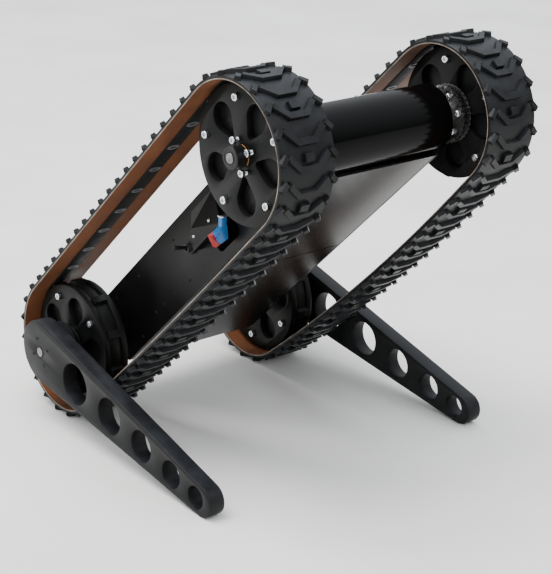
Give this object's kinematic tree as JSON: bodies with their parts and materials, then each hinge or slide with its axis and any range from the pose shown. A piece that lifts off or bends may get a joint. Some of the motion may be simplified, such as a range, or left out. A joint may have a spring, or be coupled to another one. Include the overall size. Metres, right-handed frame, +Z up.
{
  "type": "tracked robot chassis",
  "caption": "Tracked mobile robot chassis reared up on a pair of drilled flipper arms, with spoked wheels inside chevron rubber tracks and a low black body.",
  "frame": {"origin": "on the floor, under the middle of the chassis's bounding box", "axes": "+X across the robot towards its right track, -Y towards the flipper tips and the raised drive axle, +Z up"},
  "size_m": [0.4612, 0.5754, 0.5463],
  "materials": {
    "black_paint": "gloss black enamel",
    "track_rubber": "moulded black rubber, dusty, with a burnt orange fabric face inside",
    "wheel_nylon": "machined charcoal nylon",
    "flipper_nylon": "machined charcoal plastic with a satin sheen on its edges",
    "bright_steel": "bright zinc plated steel",
    "black_steel": "black oxide steel",
    "bronze": "sintered bronze",
    "motor_metal": "bare machined aluminium",
    "battery_wrap": "shrink wrap",
    "black_plastic": "moulded black plastic",
    "blue_plastic": "moulded blue plastic",
    "red_plastic": "moulded red plastic"
  },
  "bodies": {
    "chassis": {"left_side_plate": "black_paint", "right_side_plate": "black_paint", "belly_panel_rear": "black_paint", "belly_panel_front": "black_paint", "top_cover": "black_paint", "nose_panel": "black_paint", "drive_tube": "black_paint", "left_tube_cap": "black_paint", "right_tube_cap": "black_paint", "left_drive_gearmotor": "motor_metal", "right_drive_gearmotor": "motor_metal", "left_shaft_bearing": "bright_steel", "right_shaft_bearing": "bright_steel", "flipper_gearbox": "motor_metal", "flipper_motor": "motor_metal", "battery_left": "battery_wrap", "battery_right": "battery_wrap", "motor_controller": "motor_metal", "radio_receiver": "black_plastic", "connector_bracket": "black_paint", "connector_tab": "bright_steel", "blue_power_connector": "blue_plastic", "red_power_connector": "red_plastic", "power_switch_body": "bright_steel", "left_track_belt": "track_rubber", "left_track_guide": "track_rubber", "right_track_belt": "track_rubber", "right_track_guide": "track_rubber"},
    "power_switch_lever": {"power_switch_lever": "bright_steel"},
    "flippers": {"flipper_shaft": "bright_steel", "left_flipper_arm": "flipper_nylon", "right_flipper_arm": "flipper_nylon", "left_flipper_hub": "flipper_nylon", "right_flipper_hub": "flipper_nylon"},
    "left_drive_wheel": {"left_drive_wheel_core": "wheel_nylon", "left_drive_wheel_outer_disc": "wheel_nylon", "left_drive_wheel_inner_disc": "wheel_nylon", "left_drive_axle": "bright_steel", "left_axle_collar": "black_steel", "left_thrust_washer": "bronze", "left_motor_sprocket": "bright_steel", "left_wheel_sprocket": "bright_steel", "left_coupling_chain": "bright_steel"},
    "left_idler_wheel": {"left_idler_wheel_core": "wheel_nylon", "left_idler_wheel_outer_disc": "wheel_nylon", "left_idler_wheel_inner_disc": "wheel_nylon", "left_idler_hub": "wheel_nylon"},
    "right_drive_wheel": {"right_drive_wheel_core": "wheel_nylon", "right_drive_wheel_outer_disc": "wheel_nylon", "right_drive_wheel_inner_disc": "wheel_nylon", "right_drive_axle": "bright_steel", "right_axle_collar": "black_steel", "right_thrust_washer": "bronze", "right_motor_sprocket": "bright_steel", "right_wheel_sprocket": "bright_steel", "right_coupling_chain": "bright_steel"},
    "right_idler_wheel": {"right_idler_wheel_core": "wheel_nylon", "right_idler_wheel_outer_disc": "wheel_nylon", "right_idler_wheel_inner_disc": "wheel_nylon", "right_idler_hub": "wheel_nylon"}
  },
  "joints": [
    {"name": "left_drive_wheel_spin", "type": "hinge", "parent": "chassis", "child": "left_drive_wheel", "pos_m": [-0.161, -0.18875, 0.44735], "axis": [1, 0, 0], "continuous": true},
    {"name": "right_drive_wheel_spin", "type": "hinge", "parent": "chassis", "child": "right_drive_wheel", "pos_m": [0.161, -0.18875, 0.44735], "axis": [1, 0, 0], "continuous": true},
    {"name": "left_idler_wheel_spin", "type": "hinge", "parent": "chassis", "child": "left_idler_wheel", "pos_m": [-0.161, 0.18875, 0.099], "axis": [1, 0, 0], "continuous": true},
    {"name": "right_idler_wheel_spin", "type": "hinge", "parent": "chassis", "child": "right_idler_wheel", "pos_m": [0.161, 0.18875, 0.099], "axis": [1, 0, 0], "continuous": true},
    {"name": "flipper_swing", "type": "hinge", "parent": "chassis", "child": "flippers", "pos_m": [0, 0.18875, 0.099], "axis": [1, 0, 0], "continuous": true},
    {"name": "power_switch_toggle", "type": "hinge", "parent": "chassis", "child": "power_switch_lever", "pos_m": [-0.113, 0.00629, 0.27213], "axis": [0, 0.7349, -0.6782], "range_deg": [-24, 0]}
  ],
  "couplings": [
    {"joint": "left_idler_wheel_spin", "follows": "left_drive_wheel_spin", "ratio": 1},
    {"joint": "right_idler_wheel_spin", "follows": "right_drive_wheel_spin", "ratio": 1}
  ]
}
